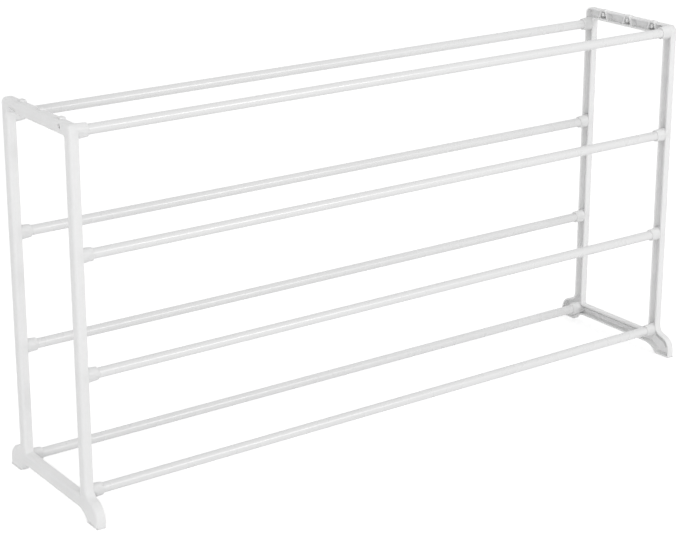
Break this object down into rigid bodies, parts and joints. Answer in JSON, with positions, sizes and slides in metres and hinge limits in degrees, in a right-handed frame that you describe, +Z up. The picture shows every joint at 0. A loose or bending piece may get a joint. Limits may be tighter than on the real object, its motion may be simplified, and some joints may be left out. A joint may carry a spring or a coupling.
{
  "type": "shoe rack",
  "caption": "Free-standing tiered shoe rack: pairs of round coated tubes span two moulded end frames with arched feet, each rear tube set lower so that shoes lean back.",
  "frame": {"origin": "on the floor, under the middle of the rack", "axes": "+X along the tubes towards the right-hand end frame, +Y to the rear, +Z up"},
  "size_m": [0.914, 0.221, 0.4704],
  "materials": {
    "white_resin": "fine satin, as moulded",
    "white_coated_steel": "smooth semi-gloss powder coat"
  },
  "bodies": {
    "root": {"end_frame_left": "white_resin", "end_frame_right": "white_resin", "tube_front_tier_1": "white_coated_steel", "tube_front_tier_2": "white_coated_steel", "tube_front_tier_3": "white_coated_steel", "tube_front_tier_4": "white_coated_steel", "tube_rear_tier_1": "white_coated_steel", "tube_rear_tier_2": "white_coated_steel", "tube_rear_tier_3": "white_coated_steel", "tube_rear_tier_4": "white_coated_steel"}
  },
  "joints": []
}
